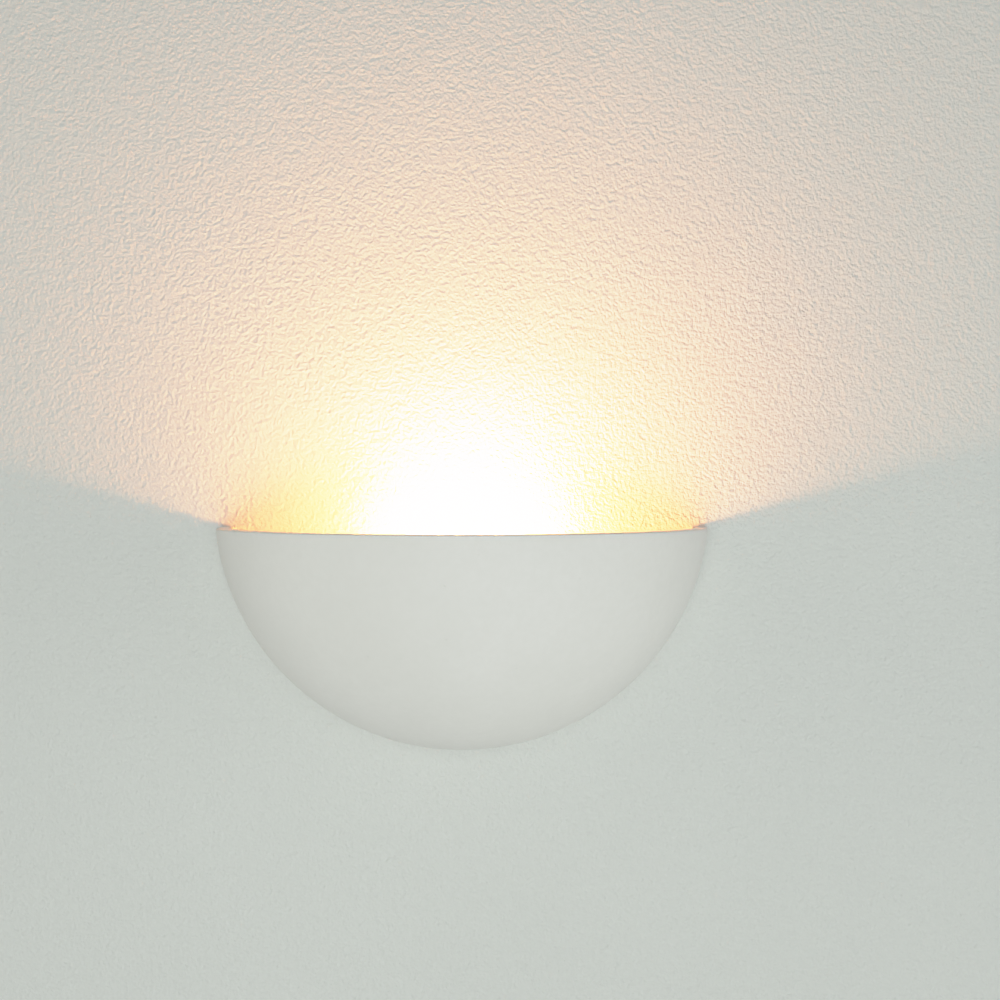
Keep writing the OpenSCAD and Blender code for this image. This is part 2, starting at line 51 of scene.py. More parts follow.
# ---------------------------------------------------------------- node-tree helpers
class Tree:
    def __init__(self, name):
        self.m = bpy.data.materials.new(name)
        self.m.use_nodes = True
        self.t = self.m.node_tree
        self.t.nodes.clear()
        self.out = self.t.nodes.new("ShaderNodeOutputMaterial")
        self.co = self.t.nodes.new("ShaderNodeTexCoord").outputs["Object"]

    def new(self, kind, **sets):
        n = self.t.nodes.new(kind)
        for k, v in sets.items():
            setattr(n, k, v)
        return n

    def put(self, socket, value):
        if isinstance(value, bpy.types.NodeSocket):
            self.t.links.new(value, socket)
        else:
            socket.default_value = value

    def noise(self, scale, detail=3.0, rough=0.55, vec=None, distortion=0.0):
        n = self.new("ShaderNodeTexNoise")
        self.put(n.inputs["Vector"], vec if vec is not None else self.co)
        n.inputs["Scale"].default_value = scale
        n.inputs["Detail"].default_value = detail
        n.inputs["Roughness"].default_value = rough
        n.inputs["Distortion"].default_value = distortion
        return n.outputs["Fac"]

    def voronoi(self, scale, feature="F1", vec=None, randomness=1.0):
        n = self.new("ShaderNodeTexVoronoi", feature=feature)
        self.put(n.inputs["Vector"], vec if vec is not None else self.co)
        n.inputs["Scale"].default_value = scale
        n.inputs["Randomness"].default_value = randomness
        return n.outputs["Distance"]

    def wave(self, scale, distortion=0.0, axis="X", vec=None, detail=2.0, dscale=1.0):
        n = self.new("ShaderNodeTexWave", bands_direction=axis)
        self.put(n.inputs["Vector"], vec if vec is not None else self.co)
        n.inputs["Scale"].default_value = scale
        n.inputs["Distortion"].default_value = distortion
        n.inputs["Detail"].default_value = detail
        n.inputs["Detail Scale"].default_value = dscale
        return n.outputs["Fac"]

    def stretch(self, scale, vec=None, loc=(0, 0, 0), rot=(0, 0, 0)):
        n = self.new("ShaderNodeMapping")
        self.put(n.inputs["Vector"], vec if vec is not None else self.co)
        n.inputs["Scale"].default_value = scale
        n.inputs["Location"].default_value = loc
        n.inputs["Rotation"].default_value = rot
        return n.outputs["Vector"]

    def span(self, value, a, b, c, d, smooth=True):
        n = self.new("ShaderNodeMapRange")
        n.interpolation_type = "SMOOTHSTEP" if smooth else "LINEAR"
        n.clamp = True
        self.put(n.inputs["Value"], value)
        for i, v in zip(("From Min", "From Max", "To Min", "To Max"), (a, b, c, d)):
            n.inputs[i].default_value = v
        return n.outputs["Result"]

    def math(self, op, a, b=0.5, c=0.0):
        n = self.new("ShaderNodeMath", operation=op)
        self.put(n.inputs[0], a)
        self.put(n.inputs[1], b)
        self.put(n.inputs[2], c)
        return n.outputs[0]

    def mix(self, fac, a, b, blend="MIX"):
        n = self.new("ShaderNodeMix", data_type="RGBA", blend_type=blend)
        self.put(n.inputs[0], fac)
        for i, v in ((6, a), (7, b)):
            self.put(n.inputs[i], (*v, 1.0) if isinstance(v, tuple) and len(v) == 3 else v)
        return n.outputs[2]

    def bump(self, height, strength, distance, normal=None):
        n = self.new("ShaderNodeBump")
        n.inputs["Strength"].default_value = strength
        n.inputs["Distance"].default_value = distance
        self.put(n.inputs["Height"], height)
        if normal is not None:
            self.put(n.inputs["Normal"], normal)
        return n.outputs["Normal"]

    def surface(self, color, rough, normal=None, **own):
        b = self.new("ShaderNodeBsdfPrincipled")
        self.put(b.inputs["Base Color"], (*color, 1.0) if isinstance(color, tuple) and len(color) == 3 else color)
        self.put(b.inputs["Roughness"], rough)
        if normal is not None:
            self.put(b.inputs["Normal"], normal)
        for k, v in own.items():
            self.put(b.inputs[k.replace("_", " ")], v)
        self.t.links.new(b.outputs[0], self.out.inputs["Surface"])
        self.b = b
        return b


# a mask of the convex edges, which the materials use to paint highlights along them
def pointiness(t, lo=0.495, hi=0.56):
    g = t.new("ShaderNodeNewGeometry")
    return t.span(g.outputs["Pointiness"], lo, hi, 0.0, 1.0)


# ---------------------------------------------------------------- materials
def bisque():
    t = Tree("bisque")
    cloud = t.noise(9.0, 4, 0.6)
    fine = t.noise(240.0, 3, 0.6)
    speck = t.voronoi(420.0)
    pits = t.span(t.voronoi(150.0), 0.0, 0.13, 1.0, 0.0)
    keep = t.span(t.noise(60.0, 2), 0.56, 0.66, 0.0, 1.0)
    pits = t.math("MULTIPLY", pits, keep)
    base = t.mix(t.span(cloud, 0.35, 0.65, 0.0, 1.0), (0.753, 0.746, 0.718), (0.777, 0.769, 0.743))
    base = t.mix(t.span(fine, 0.3, 0.7, 0.0, 0.30), base, (0.730, 0.723, 0.695))
    # the pits are darkened in colour as well as dented: painted shade in the pores
    base = t.mix(t.math("MULTIPLY", pits, 0.30), base, (0.64, 0.64, 0.61))
    # the inside is left raw: a little darker and warmer, with the marks of the casting slip
    at = t.new("ShaderNodeVectorMath", operation="DISTANCE")
    t.put(at.inputs[0], t.co)
    at.inputs[1].default_value = (0.0, WALL_CUT * MM, CZ * MM)
    inside = t.span(at.outputs["Value"], (RI + 0.2) * MM, (RI + 2.5) * MM, 1.0, 0.0)
    runs = t.noise(30.0, 4, 0.6, t.stretch((1.0, 1.0, 0.35)))
    raw = t.mix(t.span(runs, 0.35, 0.68, 0.0, 1.0), (0.640, 0.550, 0.425), (0.690, 0.600, 0.475))
    # the pits inside are darkened too: painted shade in them
    raw = t.mix(t.math("MULTIPLY", pits, 0.5), raw, (0.45, 0.37, 0.27))
    base = t.mix(inside, base, raw)
    rough = t.span(t.noise(35.0, 3), 0.3, 0.7, 0.82, 0.93)
    h = t.math("ADD", t.math("MULTIPLY", fine, 0.5), t.math("MULTIPLY", speck, 0.25))
    n = t.bump(h, 0.28, 0.00012)
    n = t.bump(t.math("MULTIPLY", pits, -1.0), 0.6, 0.00025, n)
    n = t.bump(t.noise(14.0, 2), 0.25, 0.0005, n)
    t.surface(base, rough, n)
    t.b.inputs["Specular IOR Level"].default_value = 0.28
    t.b.inputs["Diffuse Roughness"].default_value = 0.13
    return t.m


def steel(name, tint, rough_lo, rough_hi, grain=(1, 1, 1), spangle=0.0, metallic=1.0, dark=0.8, edge=0.25):
    t = Tree(name)
    v = t.stretch(grain)
    lines = t.noise(900.0, 4, 0.6, v)
    cloud = t.noise(70.0, 3)
    base = t.mix(t.span(cloud, 0.3, 0.7, 0.0, 1.0), tuple(c * dark for c in tint), tint)
    if spangle:
        cells = t.new("ShaderNodeTexVoronoi", feature="F1")
        cells.inputs["Scale"].default_value = 260.0
        t.put(cells.inputs["Vector"], t.co)
        grey = t.new("ShaderNodeSeparateColor")
        t.put(grey.inputs[0], cells.outputs["Color"])
        base = t.mix(t.math("MULTIPLY", grey.outputs[0], spangle), base, tuple(min(1, c * 1.12) for c in tint))
    # convex edges lightened in colour: a painted highlight along the edges
    if edge:
        base = t.mix(t.math("MULTIPLY", pointiness(t), edge), base, tuple(min(1, c * 1.25) for c in tint))
    rough = t.math("ADD", t.span(cloud, 0.3, 0.7, rough_lo, rough_hi), t.math("MULTIPLY", lines, 0.08))
    n = t.bump(lines, 0.12, 0.00004)
    t.surface(base, rough, n, Metallic=metallic)
    return t.m


def paint(name, color, rough, peel=520.0, depth=0.00005, edge=0.3):
    t = Tree(name)
    cloud = t.noise(28.0, 3)
    base = t.mix(t.span(cloud, 0.3, 0.7, 0.0, 1.0), tuple(c * 0.94 for c in color), color)
    dust = t.span(t.noise(160.0, 4, 0.65), 0.55, 0.75, 0.0, 0.25)
    base = t.mix(dust, base, tuple(c * 0.82 for c in color))
    # convex edges lightened in colour: a painted highlight along the edges
    base = t.mix(t.math("MULTIPLY", pointiness(t), edge * 0.5), base, tuple(min(1.0, c * 1.12) for c in color))
    r = t.span(t.noise(90.0, 3), 0.3, 0.7, rough - 0.06, rough + 0.08)
    n = t.bump(t.noise(peel, 2), 0.25, depth)
    t.surface(base, r, n)
    return t.m


def brass(name, tint, tarnish):
    t = Tree(name)
    cloud = t.noise(180.0, 4, 0.6)
    base = t.mix(t.span(cloud, 0.35, 0.7, 0.0, 1.0), tint, tarnish)
    # convex edges lightened in colour: a painted highlight along the edges
    base = t.mix(t.math("MULTIPLY", pointiness(t), 0.35), base, tuple(min(1, c * 1.2) for c in tint))
    r = t.span(t.noise(300.0, 3), 0.3, 0.7, 0.22, 0.42)
    n = t.bump(t.noise(900.0, 3, 0.6, t.stretch((1, 6, 6))), 0.1, 0.00003)
    t.surface(base, r, n, Metallic=1.0)
    return t.m


def plastic(name, color, rough, worn=0.9, speckle=0.15):
    t = Tree(name)
    cloud = t.noise(60.0, 3)
    base = t.mix(t.span(cloud, 0.3, 0.7, 0.0, 1.0), tuple(c * worn for c in color), color)
    base = t.mix(t.span(t.noise(700.0, 3, 0.7), 0.55, 0.8, 0.0, speckle), base, tuple(c * 0.72 for c in color))
    r = t.span(t.noise(240.0, 3), 0.3, 0.7, rough - 0.07, rough + 0.09)
    n = t.bump(t.noise(1300.0, 2), 0.15, 0.00003)
    t.surface(base, r, n)
    return t.m


def porcelain():
    t = Tree("porcelain")
    cloud = t.noise(55.0, 3)
    base = t.mix(t.span(cloud, 0.3, 0.7, 0.0, 1.0), (0.80, 0.79, 0.755), (0.86, 0.855, 0.83))
    specks = t.span(t.voronoi(330.0), 0.0, 0.10, 1.0, 0.0)
    keep = t.span(t.noise(120.0, 2), 0.60, 0.70, 0.0, 1.0)
    base = t.mix(t.math("MULTIPLY", t.math("MULTIPLY", specks, keep), 0.5), base, (0.35, 0.30, 0.24))
    r = t.span(t.noise(110.0, 3), 0.3, 0.7, 0.12, 0.24)
    n = t.bump(t.noise(180.0, 2), 0.12, 0.0001)
    t.surface(base, r, n)
    t.b.inputs["Coat Weight"].default_value = 0.6
    t.b.inputs["Coat Roughness"].default_value = 0.08
    return t.m


def rubber():
    t = Tree("rubber")
    base = t.mix(t.span(t.noise(130.0, 4, 0.65), 0.4, 0.75, 0.0, 1.0), (0.022, 0.022, 0.024), (0.055, 0.054, 0.052))
    r = t.span(t.noise(210.0, 3), 0.3, 0.7, 0.62, 0.82)
    t.surface(base, r, t.bump(t.noise(800.0, 3), 0.25, 0.00005))
    return t.m


def sleeving(name, color, stripe=None):
    t = Tree(name)
    uv = t.new("ShaderNodeUVMap", uv_map="Sweep").outputs["UV"]
    sep = t.new("ShaderNodeSeparateXYZ")
    t.put(sep.inputs[0], uv)
    along, around = sep.outputs["X"], sep.outputs["Y"]
    base = t.mix(t.span(t.noise(260.0, 3), 0.3, 0.7, 0.0, 1.0), tuple(c * 0.84 for c in color), color)
    if stripe:
        a = t.math("FRACT", t.math("ADD", around, t.math("MULTIPLY", along, 22.0)))
        on = t.math("MULTIPLY", t.span(a, 0.30, 0.34, 0.0, 1.0), t.span(a, 0.62, 0.66, 1.0, 0.0))
        base = t.mix(on, base, stripe)
    r = t.span(t.noise(300.0, 3), 0.3, 0.7, 0.36, 0.55)
    # the fine weave of the heat-resistant sleeve
    w1 = t.math("SINE", t.math("MULTIPLY", t.math("ADD", along, t.math("MULTIPLY", around, 0.0011)), 9000.0))
    w2 = t.math("SINE", t.math("MULTIPLY", t.math("SUBTRACT", along, t.math("MULTIPLY", around, 0.0011)), 9000.0))
    n = t.bump(t.math("MAXIMUM", w1, w2), 0.22, 0.00005)
    t.surface(base, r, n)
    return t.m


def opal(name="opal_glass", glow="FRONT"):
    t = Tree(name)
    # brightest round the filament, where the frosted glass is lit from close by
    sep = t.new("ShaderNodeSeparateXYZ")
    t.put(sep.inputs[0], t.co)
    x = t.math("DIVIDE", t.math("SUBTRACT", sep.outputs["X"], LAMP_CORE * MM), 0.011)
    core = t.math("EXPONENT", t.math("MULTIPLY", t.math("MULTIPLY", x, x), -1.0))
    core = t.math("ADD", t.math("MULTIPLY", core, 0.96), 0.04)
    # most of the light leaves the upper side that faces the wall, and the front and underside of the glass glow more softly
    face = t.span(sep.outputs["Y"], (-LAMP_Y - 11.0) * MM, (-LAMP_Y + 1.0) * MM, 0.16, 1.0)
    core = t.math("MULTIPLY", core, face)
    core = t.math("MULTIPLY", core, t.span(sep.outputs["Z"], (LAMP_Z - 10.0) * MM, (LAMP_Z + 4.0) * MM, 0.09, 1.0))
    drift = t.span(t.noise(55.0, 2), 0.3, 0.7, 0.95, 1.0)
    tint = t.mix(core, LAMP_TINT_EDGE, LAMP_TINT)
    tint = t.mix(t.math("MULTIPLY", core, drift), (0.0, 0.0, 0.0), tint)
    t.surface((0.86, 0.84, 0.80), t.span(t.noise(90.0, 2), 0.3, 0.7, 0.28, 0.36), t.bump(t.noise(500.0, 2), 0.05, 0.00003))
    if glow:
        t.put(t.b.inputs["Emission Color"], tint)
        t.b.inputs["Emission Strength"].default_value = LAMP_POWER
        t.m.cycles.emission_sampling = glow
    t.b.inputs["Coat Weight"].default_value = 0.5
    t.b.inputs["Coat Roughness"].default_value = 0.1
    return t.m


def clear_glass():
    t = Tree("stem_glass")
    tint = t.mix(t.noise(60.0, 2), (0.93, 0.96, 0.95), (0.98, 0.99, 0.985))
    t.surface(tint, t.span(t.noise(130.0, 2), 0.3, 0.7, 0.02, 0.06), t.bump(t.noise(220.0, 2), 0.05, 0.00005))
    t.b.inputs["Transmission Weight"].default_value = 0.9
    t.b.inputs["IOR"].default_value = 1.5
    return t.m


def glowing():
    t = Tree("filament")
    t.surface(t.mix(t.noise(500.0, 2), (0.5, 0.42, 0.3), (0.8, 0.7, 0.5)), t.span(t.noise(500.0, 2), 0.3, 0.7, 0.4, 0.6))
    t.put(t.b.inputs["Emission Color"], t.mix(t.noise(300.0, 2), (1.0, 0.50, 0.18), (1.0, 0.62, 0.28)))
    t.b.inputs["Emission Strength"].default_value = 30.0
    t.m.cycles.emission_sampling = "NONE"
    return t.m


LAMP_CORE = 3.0
LAMP_POWER = 1330.0
LAMP_TINT = (1.0, 0.350, 0.099, 1.0)
LAMP_TINT_EDGE = (1.0, 0.320, 0.080, 1.0)

M = {
    "bisque": bisque(),
    "zinc": steel("zinc_plate", (0.62, 0.64, 0.66), 0.26, 0.40, (1, 1, 1), 0.5),
    "zinc_arm": steel("zinc_arm", (0.60, 0.62, 0.64), 0.30, 0.44, (8, 1, 1), 0.35),
    "yellow": steel("yellow_zinc", (0.74, 0.66, 0.42), 0.24, 0.38),
    "screw": steel("screw_steel", (0.60, 0.61, 0.62), 0.22, 0.36),
    "tin": steel("tinned", (0.70, 0.71, 0.72), 0.28, 0.42),
    "alu": steel("aluminium", (0.78, 0.79, 0.80), 0.26, 0.40, (1, 12, 12)),
    "nickel": steel("nickel", (0.68, 0.66, 0.62), 0.2, 0.34, (1, 10, 10)),
    "wire": steel("lead_wire", (0.55, 0.53, 0.50), 0.3, 0.45),
    "solder": steel("solder", (0.50, 0.50, 0.49), 0.36, 0.52, (1, 1, 1), 0.2),
    "paint": paint("bracket_paint", (0.74, 0.745, 0.735), 0.38),
    "brass": brass("brass", (0.80, 0.58, 0.24), (0.58, 0.40, 0.16)),
    "bronze": brass("bronze", (0.74, 0.45, 0.22), (0.50, 0.28, 0.13)),
    "nylon": plastic("nylon", (0.80, 0.78, 0.70), 0.42),
    "vitrite": plastic("vitrite", (0.018, 0.018, 0.022), 0.16, 0.8, 0.3),
    "porcelain": porcelain(),
    "rubber": rubber(),
    "brown": sleeving("sleeve_brown", (0.16, 0.068, 0.03)),
    "blue": sleeving("sleeve_blue", (0.03, 0.11, 0.42)),
    "earth": sleeving("sleeve_earth", (0.10, 0.36, 0.06), (0.78, 0.62, 0.05)),
    "opal": opal(),
    "opal_ends": opal("opal_glass_ends", "NONE"),
    "opal_inside": opal("opal_glass_inside", None),
    "stem": clear_glass(),
    "filament": glowing(),
}

CARRIED = {
    "hanger_plate_left": "zinc", "hanger_plate_right": "zinc", "hanger_screws": "yellow", "hanger_inserts": "brass",
    "wall_bracket": "paint", "lamp_arm": "zinc_arm", "arm_rivets": "alu", "cable_grommet": "rubber",
    "terminal_housing": "nylon", "terminal_tubes": "brass", "terminal_screws": "screw", "terminal_fixing_screws": "screw",
    "earth_screw": "yellow", "earth_washer": "zinc", "earth_lug": "tin", "wire_ferrules": "tin",
    "holder_body": "porcelain", "screw_shell": "brass", "centre_contact": "bronze", "side_contact": "bronze",
    "contact_rivets": "brass", "holder_screws": "screw", "lamp_contact": "solder", "lamp_insulator": "vitrite",
    "lamp_cap": "nickel", "lamp_glass": "opal", "lamp_stem": "stem", "lead_in_wires": "wire", "filament": "filament",
    "filament_supports": "wire", "bowl_shell": "bisque", "wire_live": "brown", "wire_neutral": "blue", "wire_earth": "earth",
}
for name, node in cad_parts.items():
    node.data.materials.clear()
    node.data.materials.append(M[CARRIED[name]])
    for p in node.data.polygons:
        p.material_index = 0


# ---------------------------------------------------------------- mesh helpers
def finish_mesh(bm, name, material, smooth=True, angle=None, scale=MM):
    bmesh.ops.recalc_face_normals(bm, faces=bm.faces)
    me = bpy.data.meshes.new(name)
    for v in bm.verts:
        v.co *= scale
    bm.to_mesh(me)
    bm.free()
    o = bpy.data.objects.new(name, me)
    bpy.context.scene.collection.objects.link(o)
    me.materials.append(M[material])
    for p in me.polygons:
        p.use_smooth = smooth
    if angle is not None:
        me.set_sharp_from_angle(angle=math.radians(angle))
    return o


def weld(bm, dist=1e-5):
    bmesh.ops.remove_doubles(bm, verts=bm.verts, dist=dist)


# ---------------------------------------------------------------- the bowl
def bowl():
    """The shell as a grid: rows follow the profile from the outer foot over the rim to the inner foot, columns go round from wall to wall."""
    e = RIM_EDGE

    def arc(r, n, s):
        rc = r - s * e
        cx = math.sqrt(rc * rc - (RIM_DROP + e) ** 2)
        top = (cx * r / rc, -(RIM_DROP + e) * r / rc)
        a1 = math.atan2(top[0], -top[1])
        a0 = math.asin(WALL_CUT / r)
        pts = []
        for i in range(n):
            t = (i / n) ** 1.35
            a = a0 + (a1 - a0) * t
            pts.append((r * math.sin(a), -r * math.cos(a)))
        # the rounded edge: from the sphere to the flat top
        d = (s * cx / rc, -s * (RIM_DROP + e) / rc)
        b0, b1 = math.atan2(d[1], d[0]), math.pi / 2
        if s < 0 and b0 < 0:
            b0 += 2 * math.pi
        for i in range(9):
            b = b0 + (b1 - b0) * i / 8
            pts.append((cx + e * math.cos(b), -(RIM_DROP + e) + e * math.sin(b)))
        return pts

    n = 104
    outer, inner = arc(SPHERE_R - 0.04, n, 1), arc(RI, n, -1)
    mid = [(outer[-1][0] + (inner[-1][0] - outer[-1][0]) * i / 6, -RIM_DROP) for i in (1, 2, 3, 4, 5)]
    profile = outer + mid + inner[::-1]
    cols = 176
    bm = bmesh.new()
    grid = []
    for (rho, z) in profile:
        rho = max(rho, WALL_CUT)
        a0 = math.asin(min(1.0, WALL_CUT / rho))
        row = []
        for j in range(cols + 1):
            u = j / cols
            a = a0 + (math.pi - 2 * a0) * u
            x, y = -rho * math.cos(a), WALL_CUT - rho * math.sin(a)
            row.append(bm.verts.new((x, min(y, 0.0), CZ + z)))
        grid.append(row)
    for i in range(len(grid) - 1):
        for j in range(cols):
            try:
                bm.faces.new((grid[i][j], grid[i][j + 1], grid[i + 1][j + 1], grid[i + 1][j]))
            except ValueError:
                pass
    k = len(grid)
    for i in range(k // 2):
        for j in (0, cols):
            a, b, c, d = grid[i][j], grid[i + 1][j], grid[k - 2 - i][j], grid[k - 1 - i][j]
            quad = [a, b, c, d]
            quad = [v for q, v in enumerate(quad) if v not in quad[:q]]
            if len(quad) > 2:
                try:
                    bm.faces.new(quad)
                except ValueError:
                    pass
    weld(bm, 0.002)
    bmesh.ops.dissolve_degenerate(bm, dist=0.0005, edges=bm.edges)
    o = finish_mesh(bm, "bowl_ceramic", "bisque", True, 40)
    return o


def lug(s):
    """A moulded lug inside the bowl, with rounded edges, its outer end sunk in the ceramic wall."""
    bm = bmesh.new()
    end = lambda y, z: math.sqrt((RI + 4) ** 2 - (y - WALL_CUT) ** 2 - (z - CZ) ** 2)
    x0, ys, zs = 100.0, (-25.0, -4.0), (11.0, 37.0)
    vs = {}
    for i, (y, z) in enumerate(((ys[0], zs[0]), (ys[1], zs[0]), (ys[1], zs[1]), (ys[0], zs[1]))):
        vs[0, i] = bm.verts.new((s * x0, y, z))
        vs[1, i] = bm.verts.new((s * end(y, z), y, z))
    for i in range(4):
        j = (i + 1) % 4
        bm.faces.new((vs[0, i], vs[0, j], vs[1, j], vs[1, i]))
    bm.faces.new([vs[0, i] for i in range(4)])
    bm.faces.new([vs[1, i] for i in (3, 2, 1, 0)])
    long = [e for e in bm.edges if abs(e.verts[0].co.x - e.verts[1].co.x) > 5]
    bmesh.ops.bevel(bm, geom=long, offset=4.0, segments=7, profile=0.5, affect="EDGES")
    front = [e for e in bm.edges if all(abs(v.co.x - s * x0) < 0.01 for v in e.verts)]
    bmesh.ops.bevel(bm, geom=front, offset=1.2, segments=4, profile=0.5, affect="EDGES")
    return finish_mesh(bm, f"lug_{'left' if s < 0 else 'right'}", "bisque", True, 35)


shell = bowl()
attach(shell, "bowl")
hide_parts("bowl_shell")
for s in (-1, 1):
    o = lug(s)
    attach(o, "bowl")


# ---------------------------------------------------------------- the inner wires
def smooth_route(p, n):
    out = []
    for i in range(len(p) - 1):
        p0, p1, p2, p3 = (Vector(p[max(i - 1, 0)]), Vector(p[i]), Vector(p[i + 1]), Vector(p[min(i + 2, len(p) - 1)]))
        for k in range(n):
            u = k / n
            out.append(0.5 * (2 * p1 + (p2 - p0) * u + (2 * p0 - 5 * p1 + 4 * p2 - p3) * u * u + (3 * p1 - p0 - 3 * p2 + p3) * u ** 3))
    out.append(Vector(p[-1]))
    return out


def sweep(name, route, r, material, steps=8, sides=20, ends=0.25):
    q = smooth_route(route, steps)
    bm = bmesh.new()
    uv = bm.loops.layers.uv.new("Sweep")
    tan = [(q[min(i + 1, len(q) - 1)] - q[max(i - 1, 0)]).normalized() for i in range(len(q))]
    m = Vector((0, 0, 1)) if abs(tan[0].z) < 0.9 else Vector((1, 0, 0))
    rows, dist = [], 0.0
    where = []
    for i, c in enumerate(q):
        m = (m - m.dot(tan[i]) * tan[i]).normalized()
        b = tan[i].cross(m)
        rows.append([bm.verts.new(c + r * (math.cos(2 * math.pi * k / sides) * m + math.sin(2 * math.pi * k / sides) * b)) for k in range(sides)])
        if i:
            dist += (c - q[i - 1]).length
        where.append(dist)
    for i in range(len(rows) - 1):
        for k in range(sides):
            f = bm.faces.new((rows[i][k], rows[i][(k + 1) % sides], rows[i + 1][(k + 1) % sides], rows[i + 1][k]))
            for loop, (a, c) in zip(f.loops, ((i, k), (i, k + 1), (i + 1, k + 1), (i + 1, k))):
                loop[uv].uv = (where[a] * MM, c / sides)
    for row, flip in ((rows[0], False), (rows[-1], True)):
        cap = bm.faces.new(row if not flip else row[::-1])
        for loop in cap.loops:
            loop[uv].uv = (0.0, 0.0)
    return finish_mesh(bm, name, material, True, 50)


ROUTES = {
    "wire_live": ("brown", [(-60, -42, 29), (-66, -42, 29), (-69.3, -40.5, 29.6), (-70.6, -36, 31.2), (-70, -27, 34.2), (-67.6, -18, 37), (-62.5, -10.5, 38.8), (-52, -6, 39.4), (-40, -4.7, 39.5), (-20, -4.6, 39.5), (0, -4.6, 39.5), (16, -4.8, 39.5), (24.5, -5.6, 38.6), (28, -6.3, 35.8), (28.5, -6.5, 33), (28.5, -6.5, 31.5)], "wire_brown"),
    "wire_neutral": ("blue", [(-60, -42, 19), (-66, -42, 19), (-69.8, -40.8, 19.6), (-72.4, -37, 22.5), (-73.5, -31, 28), (-73, -24, 34.5), (-70.5, -18.5, 39), (-65, -13.6, 40.9), (-54, -9.6, 40.7), (-42, -7.8, 39.9), (-24, -7.6, 39.3), (0, -7.6, 39.3), (20, -8.1, 39.4), (34, -7.9, 39), (39.6, -7.1, 36.6), (40.5, -6.6, 33.4), (40.5, -6.5, 31.5)], "wire_blue"),
    "wire_earth": ("earth", [(16.5, -6.5, 31.5), (16.4, -6.7, 33), (14.6, -7.4, 35.2), (10, -8.2, 35.6), (4, -7.8, 33.5), (1.4, -6.2, 30.8), (-0.8, -4.3, 28.6), (-2.8, -3.75, 28), (-4.8, -3.75, 28), (-7.2, -3.75, 28)], "wire_green_yellow"),
}
for node, (mat_name, route, slot_name) in ROUTES.items():
    o = sweep(node + "_sleeve", route, 1.08, mat_name)
    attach(o, "fixture")
    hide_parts(node)


# ---------------------------------------------------------------- the lamp
def on_axis(t, r, a):
    return Vector((LAMP_X + t, -LAMP_Y + r * math.cos(a), LAMP_Z + r * math.sin(a)))


def turned(name, profile, material, sides=96, closed=True, angle=38):
    """A shape turned about the lamp's axis, from (distance t, radius) points."""
    bm = bmesh.new()
    rows = []
    for (t, r) in profile:
        if r < 0.001:
            rows.append([bm.verts.new(on_axis(t, 0, 0))])
        else:
            rows.append([bm.verts.new(on_axis(t, r, 2 * math.pi * k / sides)) for k in range(sides)])
    pairs = list(zip(rows, rows[1:]))
    if closed:
        pairs.append((rows[-1], rows[0]))
    for a, b in pairs:
        for k in range(sides):
            q = [a[k % len(a)], a[(k + 1) % len(a)], b[(k + 1) % len(b)], b[k % len(b)]]
            q = [v for i, v in enumerate(q) if v not in q[:i]]
            if len(q) > 2:
                try:
                    bm.faces.new(q)
                except ValueError:
                    pass
    return finish_mesh(bm, name, material, True, angle)


def catmull(p, n):
    return [(v.x, v.y) for v in smooth_route([(a, b, 0) for a, b in p], n)]


GR = 17.5
glass_pts = [(24.6, 7.75), (27.2, 8.0), (30.5, 9.6), (35, GR * 0.70), (41, GR * 0.87), (48, GR * 0.975), (55, GR), (62, GR * 0.972), (70, GR * 0.86), (78, GR * 0.675), (86, GR * 0.44), (93, GR * 0.24), (97.5, GR * 0.115), (100, 0.35)]
curve = catmull(glass_pts, 7)
inner = []
for i, (t, r) in enumerate(curve):
    a, b = curve[max(i - 1, 0)], curve[min(i + 1, len(curve) - 1)]
    d = Vector((b[0] - a[0], b[1] - a[1])).normalized()
    p = (t + 0.7 * d.y, r - 0.7 * d.x)
    if p[1] > 0.4 and p[0] < 98.4:
        inner.append(p)
glass = turned("candle_glass", curve + [(100.18, 0.0)] + [(99.0, 0.0)] + inner[::-1], "opal", 96, True, 60)
# one glass, one look: only the faces round the filament are sampled as a light source, and the inner face gives off none
glass.data.materials.append(M["opal_ends"])
glass.data.materials.append(M["opal_inside"])
for p in glass.data.polygons:
    c = p.center / MM
    out = p.normal.y * (c.y + LAMP_Y) + p.normal.z * (c.z - LAMP_Z)
    if out < -0.01:
        p.material_index = 2
    elif abs(c.x - LAMP_CORE) > 26.0:
        p.material_index = 1
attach(glass, "lamp")
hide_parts("lamp_glass")


def thread(name, outer, inner_rows, material, sides, angle=55):
    bm = bmesh.new()

    def ring(row):
        t, r, amp = row
        return [bm.verts.new(on_axis(t, r + amp * math.cos(2 * math.pi * t / PITCH - 2 * math.pi * k / sides), 2 * math.pi * k / sides)) for k in range(sides)]

    o_rows, i_rows = [ring(r) for r in outer], [ring(r) for r in inner_rows]
    for rows in (o_rows, i_rows):
        for a, b in zip(rows, rows[1:]):
            for k in range(sides):
                bm.faces.new((a[k], a[(k + 1) % sides], b[(k + 1) % sides], b[k]))
    for a, b in ((o_rows[0], i_rows[0]), (o_rows[-1], i_rows[-1])):
        for k in range(sides):
            bm.faces.new((a[k], a[(k + 1) % sides], b[(k + 1) % sides], b[k]))
    return finish_mesh(bm, name, material, True, angle)


def cap_depth(t):
    return (t - 4.2) / 1.2 if t < 5.4 else max(0.0, (19.6 - t) / 1.2) if t > 18.4 else 1.0


def shell_depth(t):
    return (t - 2.2) / 1.4 if t < 3.6 else max(0.0, (19.1 - t) / 1.4) if t > 17.7 else 1.0


